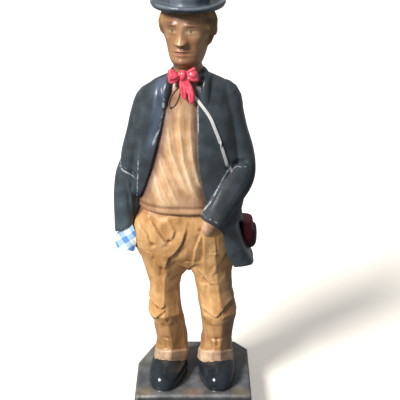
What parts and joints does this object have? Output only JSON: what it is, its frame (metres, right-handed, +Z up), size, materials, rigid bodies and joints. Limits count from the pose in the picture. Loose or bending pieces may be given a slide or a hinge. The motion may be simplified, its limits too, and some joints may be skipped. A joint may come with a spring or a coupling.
{
  "type": "carved wooden hobo figurine",
  "caption": "Painted wood carving of a standing tramp in a bowler hat, open coat and baggy trousers, hands in pockets, on its own square base, with bow, strap, bag and handkerchief.",
  "frame": {"origin": "middle of the base's underside", "axes": "+Z up through the figure, -Y the way it looks, -X towards its right arm"},
  "size_m": [0.1, 0.0794, 0.305],
  "materials": {
    "painted_wood": "limewood carved with a knife, stained ochre and brown and lacquered blue-black, glossy",
    "red_lacquer": "glossy red lacquer on wood",
    "white_lace": "thin flat white lace, slightly soiled",
    "dark_wire": "thin brown-black wire",
    "maroon_lacquer": "glossy dark red lacquer with near-black sides",
    "checked_cotton": "blue and white checked cotton scrap with frayed edges"
  },
  "bodies": {
    "root": {"carved_figure": "painted_wood", "red_bow": "red_lacquer", "bag_strap": "white_lace", "wire_loop": "dark_wire", "shoulder_bag": "maroon_lacquer", "handkerchief": "checked_cotton"}
  },
  "joints": []
}
